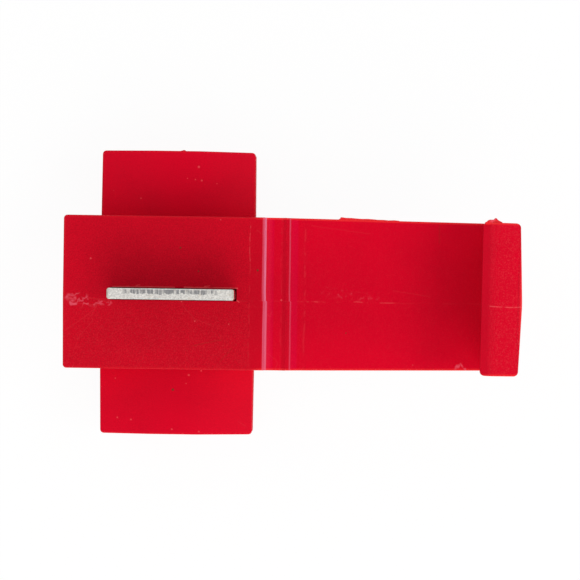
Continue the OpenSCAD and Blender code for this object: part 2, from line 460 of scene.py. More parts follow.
@dataclass
class Housing:
    """The wire guides and the block above them, with their channels and the contact's pocket."""

    at: Places
    channel_r: float = 1.5
    channel_pitch: float = 4.0
    entry_throat: float = 1.7
    entry_mouth: float = 2.4
    throat_end: float = 1.875
    stop_wall: float = 1.2
    mouth_chamfer: float = 0.25
    guide_left: float = -7.43
    guide_right: float = 3.66
    crest_inset: float = 0.375
    entry_fall: float = 1.2
    tap_fall: float = 0.7
    guide_draft: float = 0.08
    tap_end_draft: float = 0.17
    guide_edge_r: float = 0.5
    corner_r: float = 0.25
    block_half: float = 5.35
    near_draft: float = 0.06
    relief_width: float = 0.85
    relief: float = 0.06
    pocket_half_width: float = 4.39
    pocket_play: float = 0.06
    pocket_low: float = -0.54
    pocket_high: float = 0.34
    pocket_floor: float = -2.15
    edge_round: float = 0.07
    round_sides: int = 96
    clear: float = 1.0

    def guides(self) -> Form:
        """Models the two wire guides as one bar with a sloped roof and drafted ends.

        Returns:
            The bar.
        """
        at, end = self.at, self.at.guide_end
        bar = Form.box((self.guide_left, -end, at.base), (self.guide_right, end, at.roof))
        crest_left, crest_right = self.crest_inset - self.channel_pitch, -self.crest_inset
        bar.slice((crest_right, 0, at.roof), (self.entry_fall, 0, self.guide_right - crest_right))
        bar.slice((crest_left, 0, at.roof), (-self.tap_fall, 0, crest_left - self.guide_left))
        for side, face in ((1, self.guide_right), (-1, self.guide_left)):
            for way in (1, -1):
                run = end - way * at.parting
                draft = self.tap_end_draft if side < 0 and way < 0 else self.guide_draft
                bar.slice((face, at.parting, 0), (side * run, way * draft, 0))
        low = at.base + Form.NEAR
        bar.round_edges(
            self.guide_edge_r, 5, lambda e: all(v.co.z < low for v in e.verts) and runs_along(e, Axis.Y)
        )
        bar.round_edges(
            self.corner_r,
            4,
            lambda e: runs_along(e, Axis.Z) and all(abs(v.co.y) > end - Form.NEAR for v in e.verts),
        )
        return bar

    def block(self) -> Form:
        """Models the block: a core on the guides, and a slab whose wing swings clear of the claw.

        Returns:
            The block.
        """
        at, half = self.at, self.block_half
        slab = Form.box((at.block_left, -half, at.roof), (at.block_right, half, at.top))
        slab.slice((at.block_left, at.parting, 0), (-half - at.parting, -self.near_draft, 0))
        left, side = at.block_left + 1, half - 1
        slab.round_edges(
            self.corner_r,
            5,
            lambda e: runs_along(e, Axis.Z) and e.verts[0].co.x < left and abs(e.verts[0].co.y) > side,
        )
        slab.join(at.sweep(half, at.hinge.x - at.block_left), Joining.INTERSECT)
        slab.slice((at.block_right - self.relief_width, 0, at.top), (self.relief, 0, self.relief_width))
        core = Form.box((self.guide_left + self.guide_draft, -half, 0), (at.block_right, half, at.roof + 1))
        slab.join(core, Joining.UNION)
        return slab

    def channel(self, x: float, low: float, high: float, flared: Sequence[int]) -> Form:
        """Models a channel's round space, with a lead-in cone at each flared end.

        Args:
            x: the channel's place across the wires.
            low: where its straight wall starts along Y.
            high: where its straight wall ends.
            flared: the ends that have a cone, 1 for the high one and -1 for the low one.

        Returns:
            The space, to be cut away.
        """
        space = Form.rod((x, low, 0), high - low, self.channel_r, self.channel_r, self.round_sides)
        depth = 2 * self.mouth_chamfer
        for side in flared:
            end = high + depth if side > 0 else low - depth
            space.flare(side, depth, (self.channel_r + depth) / self.channel_r, (x, end, 0))
        return space

    def run_channel(self) -> Form:
        """Models the space of the through channel and its side entry.

        Returns:
            The space, to be cut away.
        """
        at, wall = self.at, self.at.guide_end - self.mouth_chamfer
        reach = at.guide_end + self.clear
        throat, mouth = self.entry_throat / 2, self.entry_mouth / 2
        entry = Form.box((0, -reach, -throat), (self.throat_end, reach, throat))
        entry.pull(
            [Station(self.guide_right, -mouth, mouth), Station(at.block_right + self.clear, -mouth, mouth)]
        )
        return entry.join(self.channel(0, -wall, wall, (1, -1)), Joining.UNION)

    def tap_channel(self) -> Form:
        """Models the space of the blind channel.

        Returns:
            The space, to be cut away.
        """
        end = self.at.guide_end
        return self.channel(-self.channel_pitch, self.mouth_chamfer - end, end - self.stop_wall, (-1,))

    def pocket(self) -> Form:
        """Models the space that guides the contact down across both channels.

        Returns:
            The space, to be cut away.
        """
        middle = -self.channel_pitch / 2
        return Form.box(
            (middle - self.pocket_half_width, self.pocket_low, self.pocket_floor),
            (middle + self.pocket_half_width + self.pocket_play, self.pocket_high, self.at.top + self.clear),
        )

    def outer(self, edge: bmesh.types.BMEdge) -> bool:
        """Tells whether an edge is an outside corner of the moulding that the tool left rounded.

        Args:
            edge: a sharp edge.

        Returns:
            True outside the channels, the pocket and the seam with the hinge web.
        """
        if edge.calc_face_angle_signed(0) <= 0:
            return False
        if all(v.co.x > self.at.block_right - Form.NEAR for v in edge.verts):
            return False
        entry = self.entry_mouth / 2 + Form.NEAR
        in_entry = all(v.co.x > 0 and abs(v.co.z) < entry for v in edge.verts)
        reach = self.channel_r + 2 * self.mouth_chamfer
        in_channel = all(
            min(math.hypot(v.co.x, v.co.z), math.hypot(v.co.x + self.channel_pitch, v.co.z)) < reach
            for v in edge.verts
        )
        low, high = self.pocket_low - Form.NEAR, self.pocket_high + Form.NEAR
        half = self.pocket_half_width + self.pocket_play + Form.NEAR
        off_middle = abs(edge.verts[0].co.x + self.channel_pitch / 2)
        in_pocket = off_middle < half and all(low < v.co.y < high for v in edge.verts)
        return not (in_entry or in_channel or in_pocket)

    def nub(self) -> Form:
        """Models the small nub that stands on a guide's end.

        Returns:
            The nub.
        """
        end = self.at.guide_end
        nub = Form.box((-1.78, end - 0.1, 2.1), (-1.68, end + 0.05, 2.5))
        nub.pull([Station(-1.55, 2.0, 2.6, far=end + 0.1), Station(-1.4, 2.1, 2.5, far=end + 0.06)])
        return nub.round_edges(0.04, 2, lambda e: True, clamped=True)

    def build(self) -> Form:
        """Joins the guides and the block, and cuts the channels and the pocket.

        Returns:
            The housing.
        """
        body = self.guides().join(self.block(), Joining.UNION)
        for space in (self.run_channel(), self.tap_channel(), self.pocket()):
            body.join(space, Joining.DIFFERENCE)
        body.merge_flats().round_edges(self.edge_round, 3, self.outer)
        return body.join(self.nub(), Joining.UNION)

    def make(self, finish: bpy.types.Material) -> bpy.types.Object:
        """Builds, dresses and mounts the housing.

        Args:
            finish: the moulded plastic.

        Returns:
            The finished piece.
        """
        piece = self.build().finish("moulded_housing", finish)
        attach(piece, "housing")
        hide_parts("housing")
        return piece


@dataclass
class HingeWeb:
    """The thin strip between the block and the lid, which bends as the lid folds."""

    at: Places
    depth: float = 0.3
    thick: float = 0.35
    half_width: float = 5.34
    drop: float = 0.1
    start_run: float = 0.6
    end_run: float = 0.35
    bends: int = 24

    def make(self, finish: bpy.types.Material) -> bpy.types.Object:
        """Builds and dresses the web, with its place baked into its mesh.

        Args:
            finish: the moulded plastic.

        Returns:
            The finished piece.
        """
        at, start, end = self.at, self.at.block_right, self.at.web_end
        low, high = at.top - self.depth - self.thick, at.top - self.depth
        strip = Form.box((start, -self.half_width, low), (start + 0.02, self.half_width, at.top - self.drop))
        first, last = start + self.start_run, end - self.end_run
        stations = [Station(start + 0.2, low, high + 0.12), Station(start + 0.4, low, high + 0.035)]
        stations += [
            Station(first + (last - first) * i / self.bends, low, high) for i in range(self.bends + 1)
        ]
        stations += [Station(end - 0.2, low, high + 0.06), Station(end, low, at.top - self.drop)]
        piece = strip.pull(stations).finish("hinge_strip", finish, flat=False)
        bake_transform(piece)
        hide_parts("hinge_web")
        return piece


@dataclass
class Lid:
    """The lid's panel, the spacer bead at its root and the claw at its end."""

    at: Places
    root_half: float = 5.33
    taper: float = 0.22
    bead_width: float = 0.35
    bead_rows: Sequence[Place] = ((-0.06, 0.25, 0.005), (0, 0.3, 0), (0.06, 0.34, 0.012))
    groove: float = 0.9
    groove_depth: float = 0.08
    groove_rise: float = 0.22
    edge_drop: float = 0.1
    web_drop: float = 0.65
    claw_gap: float = 0.06
    tip_height: float = 5.1
    nose_width: float = 0.7
    nose_r: float = 0.3
    claw_draft: float = 0.042
    claw_corner: float = 0.3
    claw_turn: float = 0.6
    lean_far: float = 0.1
    lean_near: float = 0.19
    proud: float = 0.004
    heel_r: float = 0.8
    edge_round: float = 0.05
    flash_start: float = 9.5
    flash_end: float = 13.75
    flash_step: float = 0.15
    flash_widths: Sequence[float] = (0.17, 0.13, 0.14, 0.12, 0.11, 0.13, 0.12, 0.1, 0.11, 0.09, 0.12, 0.1)
    flash_fade: float = 0.012
    trace_round: float = 0.05

    def panel(self) -> Form:
        """Models the panel from its root outwards, with the bead and the groove behind it.

        Returns:
            The panel.
        """
        at, top, root = self.at, self.at.top, self.at.web_end
        low, web_low = top - at.lid_thick, top - self.web_drop
        crest, dip = root + self.bead_width, top - self.groove_depth
        sheet = Form.box(
            (root, -self.root_half, web_low), (root + 0.05, self.root_half, top - self.edge_drop)
        )
        sheet.pull([Station(crest + x, web_low - fall, top - sink) for x, fall, sink in self.bead_rows])
        sheet.pull(
            [
                Station(crest + self.groove / 2, low, dip),
                Station(crest + self.groove, low, dip),
                Station(crest + self.groove + self.groove_rise, low, top),
                Station(at.claw_outer, low, top),
            ]
        )
        far = at.claw_outer - Form.NEAR
        return sheet.round_edges(
            self.heel_r, 8, lambda e: all(v.co.z < low + Form.NEAR and v.co.x > far for v in e.verts)
        )

    def claw(self) -> Form:
        """Models the claw, whose inner face is an arc about the hinge.

        Returns:
            The claw.
        """
        at = self.at
        swing = at.hinge.x - at.block_left + self.claw_gap
        tip_z, rise = at.top + self.tip_height, at.claw_top - at.top
        tip_x = at.hinge.x + math.sqrt(swing**2 - (tip_z - at.hinge.z) ** 2)
        reach = self.root_half + 1
        hook = Form.box((tip_x, -reach, at.top - 0.3), (at.claw_outer, reach, at.claw_top))
        hook.join(at.sweep(reach, swing), Joining.DIFFERENCE)
        hook.slice((tip_x, 0, tip_z), (tip_z - at.claw_top, 0, self.nose_width))
        crest = at.claw_top - Form.NEAR
        hook.round_edges(
            self.nose_r, 6, lambda e: runs_along(e, Axis.Y) and all(v.co.z > crest for v in e.verts)
        )
        leans = (self.lean_far / rise, -self.lean_near / rise)
        hook.join(self.footprint(tip_x, at.claw_outer, self.proud, leans), Joining.INTERSECT)
        hook.round_edges(
            self.edge_round, 3, lambda e: self.outer(e) and all(v.co.z > at.top - 0.2 for v in e.verts)
        )
        return hook.turn(self.claw_turn, ((tip_x + at.claw_outer) / 2, at.parting, 0))

    def flash(self) -> Form:
        """Models the thin fin of plastic that the mould's joint left along the lid's edge.

        Returns:
            The fin.
        """
        top, root = self.at.top, self.root_half - 0.3
        edge = self.root_half - self.taper * (self.flash_start - self.at.web_end) / 16
        fin = Form.box((self.flash_start, root, top - 0.3), (self.flash_start + 0.1, edge + 0.04, top - 0.03))
        first, steps = self.flash_start + self.flash_step, len(self.flash_widths) - 1
        length = self.flash_end - self.flash_start - self.flash_step
        stations = []
        for i, width in enumerate(self.flash_widths):
            far = edge + width - self.flash_fade * i
            stations.append(Station(first + length * i / steps, top - 0.28, top - 0.03, root, far))
        return fin.pull(stations)

    def vestige(self) -> Form:
        """Models the torn stub of the gate at the claw's end.

        Returns:
            The stub.
        """
        high, edge = self.at.claw_top - 0.12, self.root_half - self.taper - 0.1
        stub = Form.box((19.3, edge - 0.1, high - 0.5), (19.38, edge + 0.08, high - 0.05))
        reach = (
            (19.48, 0.23, -0.06),
            (19.6, 0.28, -0.02),
            (19.74, 0.27, 0),
            (19.88, 0.28, -0.02),
            (19.98, 0.4, -0.05),
            (20.06, 0.37, -0.07),
            (20.14, 0.27, -0.09),
            (20.28, 0.19, -0.12),
            (20.46, 0.12, -0.2),
        )
        return stub.pull(
            [Station(x, high - 0.5, high + lift, edge - 0.1, edge + out - 0.04) for x, out, lift in reach]
        )

    def footprint(self, start: float, end: float, spare: float, leans: tuple[float, float] = (0, 0)) -> Form:
        """Models a tall block with the lid's tapered plan and rounded upright corners.

        Args:
            start: where it starts along X.
            end: where it ends.
            spare: how much wider it is than the lid, on each side.
            leans: how far the +Y side leans in, and the -Y side too, for each millimetre of height.

        Returns:
            The block, for meeting with the lid's profile.
        """
        at, half, reach = self.at, self.root_half + spare, self.root_half + 1
        length = at.claw_outer - at.web_end
        prism = Form.box((start, -reach, at.base), (end, reach, at.claw_top + 1))
        for way, lean in zip((1, -1), leans):
            prism.slice((at.web_end, way * half, at.top), (self.taper, way * length, lean * length))
            prism.slice((end, at.parting, 0), (1, way * self.claw_draft, 0))
        return prism.round_edges(self.claw_corner, 6, lambda e: runs_along(e, Axis.Z))

    def build(self) -> Form:
        """Joins the panel and the claw, and rounds their edges.

        Returns:
            The lid.
        """
        plan = self.footprint(self.at.web_end - 1, self.at.claw_outer - self.proud, 0)
        body = self.panel().join(plan, Joining.INTERSECT).round_edges(self.edge_round, 3, self.outer)
        body.join(self.claw(), Joining.UNION)
        for trace in (self.flash(), self.vestige()):
            trace.round_edges(self.trace_round, 2, lambda e: True, clamped=True)
            body.join(trace, Joining.UNION)
        return body

    def outer(self, edge: bmesh.types.BMEdge) -> bool:
        """Tells whether an edge is an outside corner of the lid, away from its seam with the web.

        Args:
            edge: a sharp edge.

        Returns:
            True where it is.
        """
        seam = self.at.web_end + 0.06
        return edge.calc_face_angle_signed(0) > 0 and not all(v.co.x < seam for v in edge.verts)

    def make(self, finish: bpy.types.Material) -> bpy.types.Object:
        """Builds, dresses and mounts the lid.

        Args:
            finish: the moulded plastic.

        Returns:
            The finished piece.
        """
        piece = self.build().finish("moulded_lid", finish)
        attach(piece, "lid")
        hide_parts("lid")
        return piece


@dataclass
class Contact:
    """The stamped contact plate, with a wire slot over each channel."""

    at: Places
    half_width: float = 4.375
    half_thick: float = 0.378
    middle_x: float = -2.0
    middle_y: float = -0.1
    tip_z: float = 1.65
    top_z: float = 9.8
    slot_half: float = 0.25
    slot_length: float = 3.6
    lead_half: float = 0.85
    lead_length: float = 1.1
    tine_chamfer: float = 0.35
    corner_r: float = 0.12
    side_r: float = 0.18
    edge_round: float = 0.05

    def slot(self, x: float) -> Form:
        """Models the space of one wire slot with its lead-in and its round end.

        Args:
            x: the slot's place across the wires.

        Returns:
            The space, to be cut away.
        """
        reach = self.half_thick + 1
        lead = Form.box(
            (x - self.lead_half, self.middle_y - reach, self.tip_z - 1),
            (x + self.lead_half, self.middle_y + reach, self.tip_z),
        )
        straight = self.slot_length - self.slot_half - self.lead_length
        with lead.editing():
            lead.select(Part.FACE, lambda f: f.normal.z > 0.9)
            bpy.ops.mesh.extrude_region_move(TRANSFORM_OT_translate={"value": (0, 0, self.lead_length)})
            bpy.ops.transform.resize(
                value=(self.slot_half / self.lead_half, 1, 1), center_override=(x, self.middle_y, 0)
            )
            bpy.ops.mesh.extrude_region_move(TRANSFORM_OT_translate={"value": (0, 0, straight)})
        end_z = self.tip_z + self.slot_length - self.slot_half
        end = Form.rod(
            (x, self.middle_y - reach + 0.01, end_z), 2 * reach - 0.02, self.slot_half, self.slot_half, 32
        )
        return lead.join(end, Joining.UNION)

    def blank(self, low: float, high: float) -> Form:
        """Models the plate's plain outline between two heights.

        Args:
            low: the lower height.
            high: the higher one.

        Returns:
            The blank.
        """
        near, far = self.middle_y - self.half_thick, self.middle_y + self.half_thick
        left, right = self.middle_x - self.half_width, self.middle_x + self.half_width
        return Form.box((left, near, low), (right, far, high))

    def build(self) -> Form:
        """Models the plate and cuts its slots.

        Returns:
            The plate.
        """
        middle = (self.tip_z + self.top_z) / 2
        plate = self.blank(self.tip_z, self.top_z)
        for radius, segments, way in ((self.tine_chamfer, 1, -1), (self.corner_r, 5, 1)):
            plate.round_edges(
                radius,
                segments,
                lambda e: runs_along(e, Axis.Y) and all(way * (v.co.z - middle) > 0 for v in e.verts),
            )
        plan = self.blank(self.tip_z - 1, self.top_z + 1)
        plan.round_edges(self.side_r, 4, lambda e: runs_along(e, Axis.Z))
        plate.join(plan, Joining.INTERSECT)
        for x in (0.0, 2 * self.middle_x):
            plate.join(self.slot(x), Joining.DIFFERENCE)
        return plate.round_edges(self.edge_round, 3, lambda e: e.calc_face_angle_signed(0) > 0)

    def make(self, finish: bpy.types.Material) -> bpy.types.Object:
        """Builds, dresses and mounts the contact.

        Args:
            finish: the plated sheet.

        Returns:
            The finished piece.
        """
        piece = self.build().finish("contact_plate", finish)
        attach(piece, "contact")
        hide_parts("contact")
        return piece


class Board:
    """A material's node tree, built up in short calls. Its places are in millimetres."""

    def __init__(self, name: str) -> None:
        """Starts a material with its surface shader and the piece's own coordinates.

        Args:
            name: the material's name.
        """
        self.material = bpy.data.materials.new(name)
        self.material.use_nodes = True
        self.tree = self.material.node_tree
        self.shader = self.tree.nodes["Principled BSDF"]
        source = self.tree.nodes.new("ShaderNodeTexCoord")
        self.normal = source.outputs["Normal"]
        self.place = self.vector("SCALE", source.outputs["Object"], scale=1 / MM)
        split = self.add("ShaderNodeSeparateXYZ", {0: self.place})
        self.x, self.y, self.z = split.outputs

    def add(self, kind: str, wires: dict[int | str, Wire], **choices: Any) -> bpy.types.Node:
        """Adds a node, sets its choices and fills its inputs.

        Args:
            kind: the node's type.
            wires: each input's index or name, with the value or the output that fills it.
            choices: the node's own settings.

        Returns:
            The node.
        """
        node = self.tree.nodes.new(kind)
        for key, choice in choices.items():
            setattr(node, key, choice)
        for key, wire in wires.items():
            self.fill(node.inputs[key], wire)
        return node

    def fill(self, socket: bpy.types.NodeSocket, wire: Wire) -> None:
        """Fills an input with a value or with another node's output.

        Args:
            socket: the input.
            wire: what fills it.
        """
        if isinstance(wire, bpy.types.NodeSocket):
            self.tree.links.new(wire, socket)
        elif socket.type == "RGBA" and len(wire) == 3:
            socket.default_value = (*wire, 1)
        else:
            socket.default_value = wire

    def maths(self, operation: str, *values: Wire, clamp: bool = False) -> bpy.types.NodeSocket:
        """Works out one number from others, and returns its output."""
        wires = dict(enumerate(values))
        return self.add("ShaderNodeMath", wires, operation=operation, use_clamp=clamp).outputs[0]

    def times(self, *values: Wire) -> bpy.types.NodeSocket:
        """Multiplies two numbers or more, in order, and returns the product's output."""
        product = values[0]
        for value in values[1:]:
            product = self.maths("MULTIPLY", product, value)
        return product

    def plus(self, first: Wire, second: Wire) -> bpy.types.NodeSocket:
        """Adds two numbers, and returns the sum's output."""
        return self.maths("ADD", first, second)

    def minus(self, first: Wire, second: Wire) -> bpy.types.NodeSocket:
        """Takes the second number from the first, and returns the difference's output."""
        return self.maths("SUBTRACT", first, second)

    def scaled(self, value: Wire, factor: Wire, offset: Wire) -> bpy.types.NodeSocket:
        """Multiplies a number by a factor and adds an offset, and returns the result's output."""
        return self.maths("MULTIPLY_ADD", value, factor, offset)

    def vector(self, operation: str, *values: Wire, scale: Wire | None = None) -> bpy.types.NodeSocket:
        """Works out one vector or length, and returns its output."""
        wires: dict[int | str, Wire] = dict(enumerate(values))
        if scale is not None:
            wires["Scale"] = scale
        node = self.add("ShaderNodeVectorMath", wires, operation=operation)
        return node.outputs["Value" if operation in ("LENGTH", "DISTANCE", "DOT_PRODUCT") else "Vector"]

    def ramp(self, value: Wire, start: float, end: float, high: Wire = 1.0) -> bpy.types.NodeSocket:
        """Eases from 0 at one value to a height at another, and returns its output."""
        wires = {"Value": value, "From Min": start, "From Max": end, "To Max": high}
        return self.add("ShaderNodeMapRange", wires, interpolation_type="SMOOTHSTEP").outputs[0]

    def band(self, value: Wire, low: float, high: float, soft: float) -> bpy.types.NodeSocket:
        """Makes a mask that is 1 between two values and fades outside them over a soft width."""
        return self.times(self.ramp(value, low - soft, low), self.ramp(value, high + soft, high))

    def noise(
        self, scale: float, detail: float = 2.0, stretch: Place = (1, 1, 1), roughness: float = 0.5
    ) -> bpy.types.NodeSocket:
        """Makes clouds of a size.

        Args:
            scale: the number of clouds to a millimetre.
            detail: the number of finer layers.
            stretch: how much denser the clouds are along each axis.
            roughness: how strong the finer layers are.

        Returns:
            The clouds' height, from 0 to 1.
        """
        place = self.place if tuple(stretch) == (1, 1, 1) else self.vector("MULTIPLY", self.place, stretch)
        wires = {"Vector": place, "Scale": scale, "Detail": detail, "Roughness": roughness}
        return self.add("ShaderNodeTexNoise", wires).outputs[0]

    def mix(self, share: Wire, first: Wire, second: Wire) -> bpy.types.NodeSocket:
        """Mixes two colours by a share of the second, and returns its output."""
        return self.add("ShaderNodeMix", {0: share, 6: first, 7: second}, data_type="RGBA").outputs[2]

    def blend(self, share: Wire, first: Wire, second: Wire) -> bpy.types.NodeSocket:
        """Mixes two numbers by a share of the second, and returns its output."""
        return self.add("ShaderNodeMix", {0: share, 2: first, 3: second}, data_type="FLOAT").outputs[0]

    def most(self, masks: Sequence[Wire]) -> bpy.types.NodeSocket:
        """Joins masks by their highest value, and returns its output."""
        total = masks[0]
        for mask in masks[1:]:
            total = self.maths("MAXIMUM", total, mask)
        return total

    def finish(self, colour: Wire, roughness: Wire, height: Wire, depth: float) -> bpy.types.Material:
        """Joins the surface's colour, roughness and relief to its shader.

        Args:
            colour: the base colour.
            roughness: the roughness.
            height: the relief, from 0 to 1.
            depth: the relief's full depth in millimetres.

        Returns:
            The material.
        """
        bump = self.add("ShaderNodeBump", {"Height": height, "Distance": depth * MM, "Strength": 1.0})
        self.fill(self.shader.inputs["Base Color"], colour)
        self.fill(self.shader.inputs["Roughness"], roughness)
        self.fill(self.shader.inputs["Normal"], bump.outputs[0])
        return self.material


@dataclass(frozen=True)
class Stroke:
    """A straight mark on the upper faces, seen from above."""

    start: tuple[float, float]
    end: tuple[float, float]
    width: float

    def mask(self, board: Board, place: bpy.types.NodeSocket) -> bpy.types.NodeSocket:
        """Makes the stroke's mask.

        Args:
            board: the material that it goes on.
            place: the flat place, as distorted for the material.

        Returns:
            The mask's output.
        """
        start, end = Vector((*self.start, 0)), Vector((*self.end, 0))
        along = end - start
        offset = board.vector("SUBTRACT", place, start)
        share = board.vector("DOT_PRODUCT", offset, along / along.length_squared)
        held = board.maths("ADD", share, 0.0, clamp=True)
        nearest = board.vector("SCALE", along, scale=held)
        distance = board.vector("DISTANCE", offset, nearest)
        return board.ramp(distance, self.width, self.width * 0.3)


@dataclass(frozen=True)
class Speck:
    """A small spot on the upper faces, seen from above."""

    place: tuple[float, float]
    radius: float

    def mask(self, board: Board, place: bpy.types.NodeSocket) -> bpy.types.NodeSocket:
        """Makes the spot's mask.

        Args:
            board: the material that it goes on.
            place: the flat place, as distorted for the material.

        Returns:
            The mask's output.
        """
        distance = board.vector("DISTANCE", place, (*self.place, 0))
        return board.ramp(distance, self.radius, self.radius * 0.35)


Mark = Union[Stroke, Speck]


def strokes(width: float, *paths: Sequence[tuple[float, float]]) -> tuple[Stroke, ...]:
    """Makes strokes of one width along paths, each of two places or more."""
    return tuple(Stroke(start, end, width) for path in paths for start, end in zip(path, path[1:]))


def specks(*rows: tuple[float, float, float]) -> tuple[Speck, ...]:
    """Makes specks from rows of a place and a radius."""
    return tuple(Speck((x, y), radius) for x, y, radius in rows)


@dataclass(frozen=True)
class Marks:
    """The marks on one moulding's upper faces, seen from above: its flow marks, scratches and dirt."""

    scratches: Sequence[Stroke] = ()
    scores: Sequence[Stroke] = ()
    smears: Sequence[Stroke] = ()
    rings: Sequence[Stroke] = ()
    lips: Sequence[Stroke] = ()
    scuffs: Sequence[Stroke] = ()
    specks: Sequence[Speck] = ()
    dirt: Sequence[Speck] = ()


HOUSING_MARKS = Marks(
    scratches=(
        *strokes(0.045, ((-7.29, -0.92), (-7.71, -1.73))),
        *strokes(0.035, ((-9.49, -2.74), (-8.07, -1.74), (-7.28, -1.03)), ((-8.66, -3.35), (-7.55, -2.01))),
        *strokes(0.04, ((-1.40, -0.65), (-1.21, -1.00), (-0.50, -1.79), (0.67, -2.23))),
        *strokes(0.05, ((-3.98, -4.45), (-4.06, -4.68)), ((-7.92, -0.41), (-6.24, -0.73))),
        *strokes(0.05, ((-8.68, -0.84), (-6.80, -0.95)), ((3.80, 4.46), (4.09, 4.22))),
        *strokes(0.06, ((2.62, -9.18), (3.12, -9.50))),
    ),
    scores=strokes(0.06, ((-0.64, -3.71), (1.48, -3.23)), ((2.19, -3.81), (1.33, -4.80))),
    smears=(
        *strokes(0.33, ((-9.32, -0.4), (-9.0, -0.45))),
        *strokes(0.14, ((-9.1, -0.8), (-8.8, -0.85))),
    ),
    rings=(
        *strokes(0.42, ((-8.6, -0.35), (-8.1, -0.45))),
        *strokes(0.4, ((-8.5, -0.75), (-7.6, -0.75))),
        *strokes(0.22, ((-7.5, -0.7), (-6.4, -0.8))),
    ),
    lips=(
        *strokes(0.08, ((-6.2, 0.35), (-1.9, 0.37)), ((-1.2, 0.37), (2.5, 0.35))),
        *strokes(0.03, ((-4.6, 0.45), (-4.3, 0.5)), ((0.2, 0.45), (0.55, 0.52))),
        *strokes(0.06, ((2.45, -0.45), (2.62, -0.62))),
    ),
    specks=specks(
        (-7.78, 2.32, 0.09), (1.27, 5.14, 0.07), (-0.45, -1.97, 0.08), (1.92, -2.14, 0.06),
        (-1.40, -0.61, 0.08), (-0.44, 8.98, 0.12), (-0.22, 8.01, 0.1), (-1.24, 8.15, 0.06),
        (-0.67, 8.07, 0.07), (-4.54, 6.69, 0.08), (0.85, 7.81, 0.06), (-0.95, -5.85, 0.11),
        (-6.03, -8.97, 0.09), (-5.05, -9.10, 0.09), (-2.10, -9.73, 0.09), (-0.18, -9.88, 0.09),
        (-6.21, -6.17, 0.07), (-0.07, -5.54, 0.08), (-1.14, -6.46, 0.06),
    ),
    dirt=specks((3.90, 1.64, 0.1), (-0.24, 1.53, 0.07), (-1.51, 3.14, 0.08), (-2.07, -6.91, 0.12)),
)

LID_MARKS = Marks(
    scratches=(
        *strokes(0.05, ((4.58, -1.41), (4.81, -1.59), (4.93, -1.18))),
        *strokes(0.04, ((4.67, -4.18), (5.23, -4.57), (5.37, -4.83), (5.24, -5.19))),
        *strokes(0.05, ((5.48, -3.23), (5.61, -3.54))),
        *strokes(0.04, ((13.37, 0.35), (15.96, -0.03))),
        *strokes(0.035, ((7.64, 4.80), (11.70, 4.30))),
    ),
    scores=strokes(0.07, ((16.54, 4.94), (16.56, 3.75))),
    smears=(
        *strokes(0.22, ((19.35, 5.3), (20.5, 5.28))),
        *strokes(0.12, ((17.75, -5.1), (18.2, -4.72), (18.5, -5.1))),
    ),
    scuffs=strokes(0.4, ((8.60, 0.25), (12.20, -0.25))),
    specks=specks((5.58, -0.42, 0.1)),
    dirt=specks((10.13, -2.64, 0.06)),
)


class Zones(NamedTuple):
    """Masks and measures of a moulding's zones, which several layers of its finish share."""

    upward: bpy.types.NodeSocket
    crown: bpy.types.NodeSocket
    off_claw: bpy.types.NodeSocket
    past_insert: bpy.types.NodeSocket
    polished: bpy.types.NodeSocket
    grain: bpy.types.NodeSocket
    margin: bpy.types.NodeSocket


